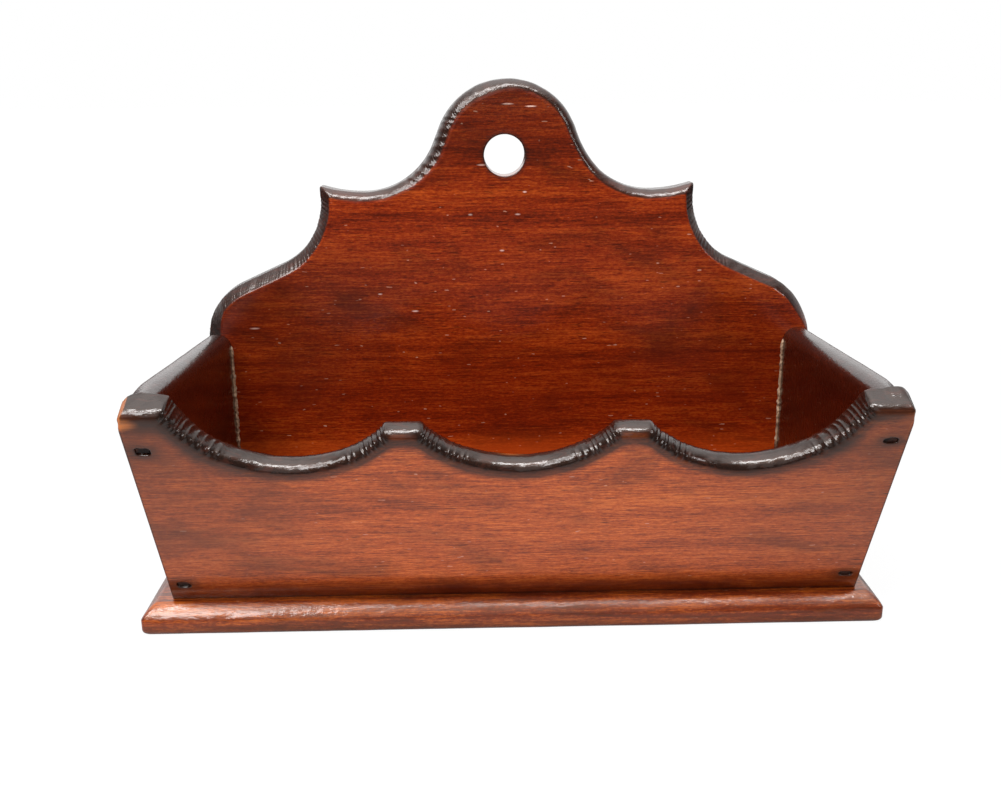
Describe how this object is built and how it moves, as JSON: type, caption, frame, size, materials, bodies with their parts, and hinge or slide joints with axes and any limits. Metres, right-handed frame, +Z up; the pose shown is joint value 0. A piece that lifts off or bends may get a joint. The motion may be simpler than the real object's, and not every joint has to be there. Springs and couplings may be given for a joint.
{
  "type": "candle box",
  "caption": "Open wooden candle box that hangs on a wall or stands: a tall shaped back board with a hanging hole, a scalloped front that leans forwards and a moulded base.",
  "frame": {"origin": "on the surface that the box stands on, midway between the outer faces of its side boards and halfway through its whole depth", "axes": "+X to the right as the box is faced, +Y back to the wall, +Z up"},
  "size_m": [0.3232, 0.1556, 0.2295],
  "materials": {
    "back_wood": "dark red-brown shellac, glossy, with fine horizontal grain",
    "front_wood": "lighter pinkish-brown shellac, hazy, with dark bevelled edges",
    "side_wood": "very dark red-brown shellac, glossy on the rounded tops",
    "base_wood": "orange-brown shellac, glossy on the moulded edge",
    "nail_iron": "blackened iron, rough",
    "old_glue": "dried hide glue, dull and beaded"
  },
  "bodies": {
    "root": {"back_board": "back_wood", "front_board": "front_wood", "left_side_board": "side_wood", "right_side_board": "side_wood", "base_board": "base_wood", "front_nails_left": "nail_iron", "front_nails_right": "nail_iron", "back_nails_left": "nail_iron", "back_nails_right": "nail_iron", "base_nails_front": "nail_iron", "base_nails_back": "nail_iron", "base_nails_left": "nail_iron", "base_nails_right": "nail_iron", "glue_bead_left": "old_glue", "glue_bead_right": "old_glue"}
  },
  "joints": []
}
